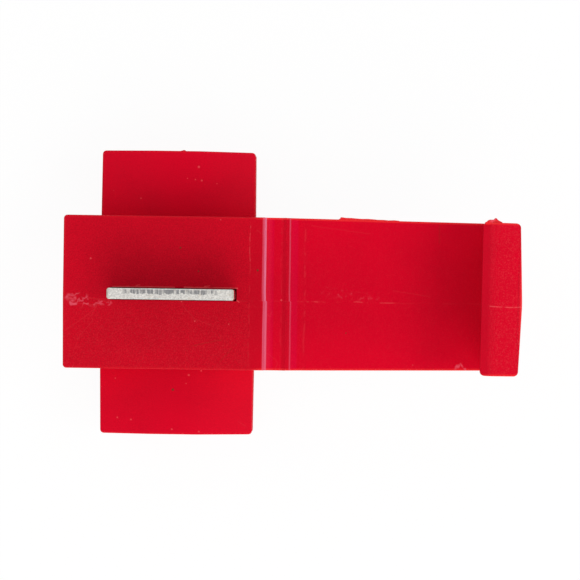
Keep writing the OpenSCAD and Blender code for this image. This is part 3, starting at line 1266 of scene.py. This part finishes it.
@dataclass(frozen=True)
class MouldedRed:
    """Red polypropylene: grained where the mould was eroded, and smoother on the web and the lid."""

    name: str
    at: Places
    marks: Marks
    # Painted light: the thick block's darker colour below and the thin walls' lighter one after it stand in
    # for the light that shines through thin plastic but not through the block.
    dense_shaded: Colour = (0.54, 0.0015, 0.013)
    thin: Colour = (0.64, 0.0005, 0.0165)
    cool: Colour = (0.64, 0.0005, 0.027)
    # Painted light: the glow along the edges of the upper faces.
    painted_rim_glow: Colour = (0.86, 0.03, 0.03)
    bruised: Colour = (0.8, 0.13, 0.19)
    # The pale colour also paints glints on the upper faces, besides the real pale marks.
    pale: Colour = (0.9, 0.13, 0.14)
    dirt: Colour = (0.06, 0.04, 0.015)
    # Partly painted highlight: the whitening where the web flexes, which also stands in for the web's
    # highlights.
    whitening_and_highlight_colour: Colour = (0.71, 0.19, 0.31)
    sheen: Colour = (1, 0.22, 0.3)
    sheen_level: float = 0.16
    refraction: float = 1.49
    insert_start: float = 3.35
    insert_end: float = 7.2
    claw_start: float = 19.75
    # Painted shade: how much darker each face is painted towards its middle, and how far in that darkening
    # reaches.
    core: float = 0.1
    centre_shade_depth: float = 4.4
    grain: float = 11.0
    speck_cells: float = 0.8
    relief: float = 0.012
    fine_wobble: float = 0.08
    spot_wobble: float = 0.05
    lip_wobble: float = 0.12
    soft_wobble: float = 0.5
    scratch_share: float = 0.065
    lip_share: float = 0.4
    speck_share: float = 0.38
    ring_share: float = 0.35
    scuff_share: float = 0.3
    score_share: float = 0.13
    dirt_share: float = 0.8

    def margin(self, board: Board) -> bpy.types.NodeSocket:
        """Measures how far a place is from the nearest edge of its face, seen from above.

        Args:
            board: the material.

        Returns:
            The distance's output, in millimetres.
        """
        at = self.at
        past = board.maths("MAXIMUM", board.minus(board.x, at.web_end), 0.0)
        high, claw = board.ramp(board.z, 4.5, 5.0), board.ramp(board.z, at.top + 0.5, at.top + 2)
        half = board.scaled(past, -0.0138, 5.35)
        half = board.blend(high, at.guide_end, board.scaled(claw, 0.045, half))
        level = board.maths("ABSOLUTE", board.scaled(claw, 0.145, board.y))
        left = board.minus(board.x, board.blend(high, -7.4, at.block_left))
        right = board.minus(board.blend(high, 3.64, at.claw_outer), board.x)
        inside = board.maths("MINIMUM", board.minus(half, level), left)
        return board.maths("MINIMUM", inside, right)

    def zones(self, board: Board) -> Zones:
        """Finds the moulding's zones by place and direction.

        Args:
            board: the material.

        Returns:
            The zones' outputs.
        """
        direction = board.add("ShaderNodeSeparateXYZ", {0: board.normal})
        upward = board.ramp(direction.outputs[2], 0.5, 0.8)
        crown = board.ramp(board.z, 3.0, 4.3)
        off_claw = board.ramp(board.x, self.claw_start + 0.1, self.claw_start - 0.3)
        past_insert = board.ramp(board.x, self.insert_start - 0.06, self.insert_start + 0.06)
        polished = board.times(past_insert, crown, off_claw)
        grain = board.noise(self.grain, 3, roughness=0.7)
        return Zones(upward, crown, off_claw, past_insert, polished, grain, self.margin(board))

    def plastic(self, board: Board, zones: Zones) -> bpy.types.NodeSocket:
        """Makes the plastic's colour, before its painted edge glow and its marks, with painted light and
        shade in it: the thick block is painted darker and the thin walls lighter, for the light that shines
        through thin plastic; each face is painted darker towards its middle; and a painted shade band lies on
        the slope that rises from the web to the lid's bead.

        Args:
            board: the material.
            zones: the moulding's zones.

        Returns:
            The colour's output.
        """
        # Painted light: the block is painted in the darker colour and the thin walls in the lighter one.
        thick_shade_share = board.ramp(board.x, self.at.block_right, self.at.block_right - 0.25)
        thick_shade_share = board.maths("SUBTRACT", thick_shade_share, board.times(zones.past_insert, 0.12), clamp=True)
        tone = board.scaled(board.noise(0.35, 3), 0.14, 0.93)
        # Painted shade on the slope that rises from the web to the lid's bead.
        shade = board.times(board.band(board.x, 5.68, 6.02, 0.06), -0.05)
        tone = board.plus(tone, board.times(shade, zones.crown))
        # Painted shade: each face is darkened towards its middle, so that its edges read lighter.
        tone = board.minus(tone, board.ramp(zones.margin, 0.0, self.centre_shade_depth, self.core))
        coarse = board.blend(zones.off_claw, 0.36, board.blend(zones.crown, 0.42, 0.95))
        mottle = board.times(board.minus(zones.grain, 0.5), board.blend(zones.polished, coarse, 0.3))
        web = board.most([board.band(board.x, 4.65, 4.95, 0.15), board.band(board.x, 6.32, 6.6, 0.2)])
        colour = board.mix(board.times(zones.crown, thick_shade_share), self.thin, self.dense_shaded)
        colour = board.mix(board.times(web, zones.crown), colour, self.cool)
        return board.vector("SCALE", colour, scale=board.plus(tone, mottle))

    def traces(self, board: Board) -> bpy.types.NodeSocket:
        """Makes the raised traces of the mould's joints: its parting line and its insert's edges.

        Args:
            board: the material.

        Returns:
            The mask's output.
        """
        at = self.at
        wander = board.scaled(board.noise(0.7), 0.2, -0.1)
        on_claw = board.ramp(board.x, self.claw_start - 0.2, self.claw_start)
        breaks = board.ramp(board.scaled(on_claw, 0.12, board.noise(2.2, 3)), 0.4, 0.6)
        leaned = board.ramp(board.z, at.top + 1, at.top + 1.1, 0.12)
        level = board.plus(board.plus(board.y, wander), leaned)
        parting = board.band(level, at.parting - 0.02, at.parting + 0.02, 0.04)
        on_lid = board.band(board.x, 7.2, 13.4, 0.4)
        strength = board.scaled(on_claw, 0.3, board.scaled(on_lid, 0.14, 0.05))
        along = board.plus(board.x, wander)
        inner = board.band(along, self.insert_start - 0.01, self.insert_start + 0.01, 0.045)
        outer = board.band(along, self.insert_end - 0.03, self.insert_end + 0.03, 0.06)
        upper = board.scaled(board.band(board.y, 2.4, 4.6, 0.5), 0.14, 0.08)
        lines = (
            board.times(parting, strength),
            board.times(inner, upper),
            board.times(outer, 0.07),
            board.times(board.band(along, 5.53, 5.57, 0.05), 0.05),
        )
        high = board.ramp(board.z, 4.2, 4.6)
        return board.maths("MULTIPLY", board.times(board.most(lines), breaks), high, clamp=True)

    def flex_whitening_and_highlights(self, board: Board) -> bpy.types.NodeSocket:
        """Makes the pale whitening where the web's ends flex, partly painted highlight: strong at the block,
        and thin on the lid's bead, where a bright line along the crest is a painted highlight; each is
        painted at a different strength on either side of the parting line, as the highlights there differ.

        Args:
            board: the material.

        Returns:
            The mask's output.
        """
        at = self.at
        wander = board.scaled(board.noise(0.5, 2, stretch=(0, 1, 0)), 0.06, -0.03)
        streaks = board.scaled(board.noise(9, 2, stretch=(1, 0.03, 0)), 0.9, 0.55)
        # Painted highlight: the marks shift and change strength across the parting line, as the highlights
        # do.
        beyond = board.ramp(board.y, at.parting - 0.03, at.parting + 0.03)
        shift = board.scaled(beyond, -0.07, 0.07)
        across = board.minus(board.minus(board.x, wander), shift)
        root = board.band(across, at.block_right - 0.15, at.block_right + 0.1, 0.04)
        core = board.band(across, at.block_right - 0.02, at.block_right + 0.08, 0.035)
        # Painted highlight: the bright line along the crest of the lid's bead.
        bead = board.band(across, at.web_end + 0.23, at.web_end + 0.29, 0.04)
        root = board.times(root, board.scaled(beyond, -0.13, 0.4))
        core = board.times(core, board.scaled(beyond, 0.4, 0.12))
        bead = board.times(bead, board.scaled(beyond, 0.05, 0.2))
        whitening_and_highlight_masks = board.plus(board.plus(root, core), bead)
        high = board.ramp(board.z, at.top - 0.9, at.top - 0.6)
        return board.maths("MULTIPLY", board.times(whitening_and_highlight_masks, streaks), high, clamp=True)

    def marked(self, board: Board, marks: Sequence[Mark], wobble: float) -> Wire:
        """Makes one mask of several marks, whose outlines wobble.

        Args:
            board: the material.
            marks: the marks.
            wobble: how far the outlines wander, in millimetres.

        Returns:
            The mask's output, or 0 where there are no marks.
        """
        if not marks:
            return 0.0
        wires = {"Vector": board.place, "Scale": 2.4, "Detail": 3.0}
        drift = board.vector("SUBTRACT", board.add("ShaderNodeTexNoise", wires).outputs[1], (0.5, 0.5, 0.5))
        drift = board.vector("SCALE", drift, scale=wobble)
        place = board.vector("MULTIPLY", board.vector("ADD", board.place, drift), (1, 1, 0))
        return board.most([mark.mask(board, place) for mark in marks])

    def strewn(self, board: Board) -> bpy.types.NodeSocket:
        """Makes a thin strewing of tiny pale specks.

        Args:
            board: the material.

        Returns:
            The mask's output.
        """
        cells = board.add("ShaderNodeTexVoronoi", {"Vector": board.place, "Scale": self.speck_cells})
        spots = board.ramp(cells.outputs["Distance"], 0.055, 0.02)
        pick = board.add("ShaderNodeSeparateColor", {0: cells.outputs["Color"]}).outputs[0]
        return board.times(spots, board.ramp(pick, 0.45, 0.75, 0.6))

    def bruises(self, board: Board) -> tuple[Wire, Wire]:
        """Makes the soft pale marks: the smears, the broken rings beside them, and the scuffs.

        Args:
            board: the material.

        Returns:
            The smears' mask, and the mask of all of them.
        """
        marks, wobble = self.marks, self.soft_wobble
        blotches = board.ramp(board.noise(3.2, 4, stretch=(0.6, 1.4, 1)), 0.28, 0.6, 0.55)
        smears = board.times(self.marked(board, marks.smears, wobble), blotches)
        loops = board.times(board.band(board.noise(1.5, 3), 0.46, 0.5, 0.05), self.ring_share)
        rings = board.times(self.marked(board, marks.rings, wobble), loops)
        patches = board.ramp(board.noise(3.2, 4), 0.5, 0.8)
        scuffs = board.times(self.marked(board, marks.scuffs, wobble), patches, self.scuff_share)
        return smears, board.most([smears, rings, scuffs])

    def painted_edge_glow(self, board: Board, zones: Zones) -> bpy.types.NodeSocket:
        """Makes the mask of the painted glow along the edges of the upper faces, which stands in for light
        leaking through those edges.

        Args:
            board: the material.
            zones: the moulding's zones.

        Returns:
            The mask's output.
        """
        leak = board.blend(board.ramp(board.x, 3.4, 4.4), 0.12, board.scaled(zones.grain, 0.9, 0.3))
        painted_rim_glow = board.ramp(zones.margin, 0.2, 0.07)
        return board.maths("MULTIPLY", painted_rim_glow, leak, clamp=True)

    def pale_grain_and_glints(self, board: Board, zones: Zones) -> bpy.types.NodeSocket:
        """Makes the fine pale grain, with painted glints: strongest on the claw, and painted stronger on the
        crown's -Y half, the side that the key lamp lights.

        Args:
            board: the material.
            zones: the moulding's zones.

        Returns:
            The mask's output.
        """
        # Painted glints: the specks are painted stronger on the crown's -Y half, towards the key lamp.
        lit = board.times(board.ramp(board.y, 1.0, -3.0, 0.07), zones.crown)
        lit = board.plus(board.blend(zones.polished, lit, 0.02), 0.03)
        lit = board.blend(zones.off_claw, 0.2, lit)
        return board.ramp(board.noise(13.0, 2, roughness=0.7), 0.45, 0.78, lit)

    def make(self) -> bpy.types.Material:
        """Makes the material.

        Returns:
            The material.
        """
        board, marks = Board(self.name), self.marks
        board.fill(board.shader.inputs["IOR"], self.refraction)
        board.fill(board.shader.inputs["Specular IOR Level"], self.sheen_level)
        board.fill(board.shader.inputs["Specular Tint"], self.sheen)
        zones = self.zones(board)
        colour = self.plastic(board, zones)
        scratches = board.times(self.marked(board, marks.scratches, self.fine_wobble), self.scratch_share)
        lips = board.times(self.marked(board, marks.lips, self.lip_wobble), self.lip_share)
        specks = board.most([self.marked(board, marks.specks, self.spot_wobble), self.strewn(board)])
        smears, bruises = self.bruises(board)
        traces = self.traces(board)
        # Painted light: a glow mixed into the edges of the upper faces.
        colour = board.mix(self.painted_edge_glow(board, zones), colour, self.painted_rim_glow)
        # Partly painted highlight: the web's flex whitening, with painted highlights.
        colour = board.mix(self.flex_whitening_and_highlights(board), colour, self.whitening_and_highlight_colour)
        colour = board.mix(board.times(bruises, zones.upward), colour, self.bruised)
        # Partly painted light: pale grain with painted glints, mixed in with the pale colour below.
        pale_grain_and_glints = self.pale_grain_and_glints(board, zones)
        pale = board.most([scratches, lips, board.times(specks, self.speck_share), traces, pale_grain_and_glints])
        colour = board.mix(board.times(pale, zones.upward), colour, self.pale)
        scores = board.times(self.marked(board, marks.scores, self.fine_wobble), self.score_share)
        dirt = board.times(self.marked(board, marks.dirt, self.spot_wobble), self.dirt_share)
        dark = board.most([scores, dirt])
        colour = board.mix(board.times(dark, zones.upward), colour, self.dirt)
        roughness = board.plus(board.blend(zones.polished, 0.44, 0.36), board.times(bruises, 0.2))
        height = board.times(zones.grain, board.blend(zones.polished, 0.5, 0.08))
        height = board.scaled(board.most([traces, scratches, lips, smears]), 0.5, height)
        return board.finish(colour, roughness, height, self.relief)


@dataclass(frozen=True)
class TinnedSheet:
    """Tin-plated brass sheet, with a sheared upper edge: smooth where it was cut, rough where it tore."""

    top_z: float = 9.8
    plated: Colour = (0.5, 0.48, 0.44)
    torn: Colour = (0.63, 0.61, 0.575)
    streak: Colour = (0.18, 0.18, 0.19)
    brass: Colour = (0.45, 0.3, 0.13)
    streak_share: float = 0.9
    stain_share: float = 0.6
    relief: float = 0.03

    def cut(self, board: Board) -> bpy.types.NodeSocket:
        """Makes the mask of the shearing's smooth half, whose border wanders along the edge.

        Args:
            board: the material.

        Returns:
            The mask's output.
        """
        border = board.scaled(board.noise(2.0, 3, stretch=(1, 0, 0)), 0.6, -0.42)
        smooth = board.ramp(board.minus(board.y, border), 0.0, 0.06)
        smooth = board.times(smooth, board.band(board.x, -4.9, 0.9, 0.5))
        return board.times(smooth, board.ramp(board.y, 0.24, 0.17))

    def make(self) -> bpy.types.Material:
        """Makes the material.

        Returns:
            The material.
        """
        board = Board("tinned_sheet")
        on_top = board.ramp(board.z, self.top_z - 0.06, self.top_z - 0.03)
        streaks = board.noise(6.5, 3, stretch=(1, 0.1, 0.1), roughness=0.65)
        pits = board.noise(8.5, 4, roughness=0.8)
        cut = self.cut(board)
        dark = board.times(cut, board.ramp(streaks, 0.36, 0.56))
        top = board.vector("SCALE", self.torn, scale=board.scaled(pits, 1.8, 0.06))
        top = board.mix(board.times(dark, self.streak_share), top, self.streak)
        ends = board.minus(1.0, board.band(board.x, -6.15, 2.15, 0.15))
        stain = board.times(board.ramp(board.noise(3.0, 3), 0.55, 0.75), 0.35)
        stain = board.most([stain, board.times(ends, 0.5)])
        top = board.mix(board.times(stain, self.stain_share), top, self.brass)
        scored = board.noise(9.0, 3, stretch=(1, 1, 0.06), roughness=0.7)
        side = board.vector("SCALE", self.plated, scale=board.scaled(scored, 0.4, 0.8))
        colour = board.mix(on_top, side, top)
        roughness = board.blend(on_top, board.scaled(scored, 0.2, 0.12), 0.62)
        board.fill(board.shader.inputs["Metallic"], board.blend(on_top, 0.95, board.blend(cut, 0.25, 0.6)))
        height = board.blend(on_top, board.times(scored, 0.15), board.blend(cut, pits, 0.4))
        return board.finish(colour, roughness, height, self.relief)


@dataclass(frozen=True)
class PaleFloor:
    """The floor's finish: white to the camera and in reflections, with a faint shadow."""

    share: float = 0.94
    colour: Colour = (0.97, 0.97, 0.97)

    def make(self) -> bpy.types.Material:
        """Makes the material.

        Returns:
            The material.
        """
        board = Board("pale_floor")
        diffuse = board.add("ShaderNodeBsdfDiffuse", {"Color": self.colour})
        glow = board.add("ShaderNodeEmission", {"Color": (1, 1, 1), "Strength": 1.0})
        shown = board.maths("MULTIPLY", seen_directly(board.tree), self.share)
        mixed = board.add("ShaderNodeMixShader", {0: shown, 1: diffuse.outputs[0], 2: glow.outputs[0]})
        board.fill(board.tree.nodes["Material Output"].inputs["Surface"], mixed.outputs[0])
        return board.material


def seen_directly(tree: bpy.types.NodeTree) -> bpy.types.NodeSocket:
    """Makes a mask of the rays that show a background: from the camera, a reflection or glass.

    Args:
        tree: the node tree that it goes in.

    Returns:
        The mask's output.
    """
    path = tree.nodes.new("ShaderNodeLightPath")
    total = path.outputs["Is Camera Ray"]
    for name in ("Is Glossy Ray", "Is Transmission Ray"):
        most = tree.nodes.new("ShaderNodeMath")
        most.operation = "MAXIMUM"
        tree.links.new(total, most.inputs[0])
        tree.links.new(path.outputs[name], most.inputs[1])
        total = most.outputs[0]
    return total


@dataclass
class Studio:
    """The pale floor, the dark card over the camera, the soft lamps and the camera."""

    at: Places
    aim: Place = (6.174, 0.303)
    camera_height: float = 160.0
    field: float = 40.5
    roll: float = 0.82
    sensor: float = 36.0
    floor_radius: float = 0.6
    card_height: float = 0.45
    card_radius: float = 0.33
    floor_gap: float = 1e-5
    lamp_distance: float = 0.3
    sky: float = 0.6

    def disc(self, name: str, radius: float, height: float, finish: bpy.types.Material) -> None:
        """Lays one flat disc of the studio.

        Args:
            name: the disc's name.
            radius: its radius, in metres.
            height: its height, in metres.
            finish: its material.
        """
        bpy.ops.object.select_all(action="DESELECT")
        bpy.ops.mesh.primitive_circle_add(
            vertices=128, radius=radius, fill_type="NGON", location=(0, 0, height)
        )
        disc = bpy.context.object
        bpy.ops.object.transform_apply(location=True, rotation=True, scale=True)
        disc.name = name
        disc.data.materials.append(finish)

    def card_finish(self) -> bpy.types.Material:
        """Makes the dark card's finish."""
        board = Board("dark_card")
        board.fill(board.shader.inputs["Base Color"], (0.03, 0.03, 0.03))
        board.fill(board.shader.inputs["Roughness"], 0.9)
        return board.material

    def lamp(self, name: str, azimuth: float, elevation: float, size: float, power: float) -> None:
        """Hangs one soft square lamp that faces the part.

        Args:
            name: the lamp's name.
            azimuth: its direction from the part, in degrees from +X towards +Y.
            elevation: its height angle, in degrees.
            size: the length of its side, in metres.
            power: its power, in watts.
        """
        turn, rise = math.radians(azimuth), math.radians(elevation)
        away = Vector((math.cos(rise) * math.cos(turn), math.cos(rise) * math.sin(turn), math.sin(rise)))
        light = bpy.data.lights.new(name, "AREA")
        light.shape = "SQUARE"
        light.size = size
        light.energy = power
        lamp = bpy.data.objects.new(name, light)
        lamp.location = Vector((*self.aim, 0)) * MM + away * self.lamp_distance
        lamp.rotation_euler = away.to_track_quat("Z", "Y").to_euler()
        bpy.context.scene.collection.objects.link(lamp)

    def world(self) -> None:
        """Sets the plain light from all round, which shows white where it is seen."""
        world = bpy.data.worlds.new("studio")
        bpy.context.scene.world = world
        world.use_nodes = True
        tree = world.node_tree
        background = tree.nodes["Background"]
        background.inputs["Color"].default_value = (1, 1, 1, 1)
        level = tree.nodes.new("ShaderNodeMapRange")
        level.inputs["To Min"].default_value = self.sky
        tree.links.new(seen_directly(tree), level.inputs["Value"])
        tree.links.new(level.outputs[0], background.inputs["Strength"])

    def camera(self) -> None:
        """Sets the camera straight above the part, as in the photograph."""
        bpy.ops.object.camera_add()
        camera = bpy.context.object
        camera.name = "camera"
        camera.location = Vector((*self.aim, self.at.top + self.camera_height)) * MM
        camera.rotation_euler = (0, 0, math.radians(self.roll))
        camera.data.sensor_width = self.sensor
        camera.data.lens = self.sensor * self.camera_height / self.field
        camera.data.clip_start = 0.005
        camera.data.clip_end = 5
        bpy.context.scene.camera = camera

    def set_up(self) -> None:
        """Builds the whole studio."""
        self.disc("floor", self.floor_radius, self.at.base * MM - self.floor_gap, PaleFloor().make())
        self.disc("overhead_card", self.card_radius, self.card_height, self.card_finish())
        self.lamp("key", azimuth=-72, elevation=43, size=0.26, power=0.52)
        self.lamp("side", azimuth=-6, elevation=50, size=0.13, power=0.2)
        self.lamp("fill", azimuth=185, elevation=64, size=0.26, power=0.17)
        self.lamp("back", azimuth=96, elevation=36, size=0.26, power=0.11)
        self.world()
        self.camera()
        bpy.context.scene.view_settings.view_transform = "Standard"


def main() -> None:
    """Builds, dresses and lights the whole part."""
    logging.basicConfig(level=logging.INFO, format="%(name)s: %(message)s")
    at = Places.read()
    housing_red = MouldedRed("moulded_red", at, HOUSING_MARKS).make()
    lid_red = MouldedRed("flexed_red", at, LID_MARKS).make()
    pieces = [
        Housing(at).make(housing_red),
        HingeWeb(at).make(lid_red),
        Lid(at).make(lid_red),
        Contact(at).make(TinnedSheet().make()),
    ]
    for piece in pieces:
        log.info("%s: %d faces", piece.name, len(piece.data.polygons))
    Studio(at).set_up()


if __name__ == "__main__":
    main()
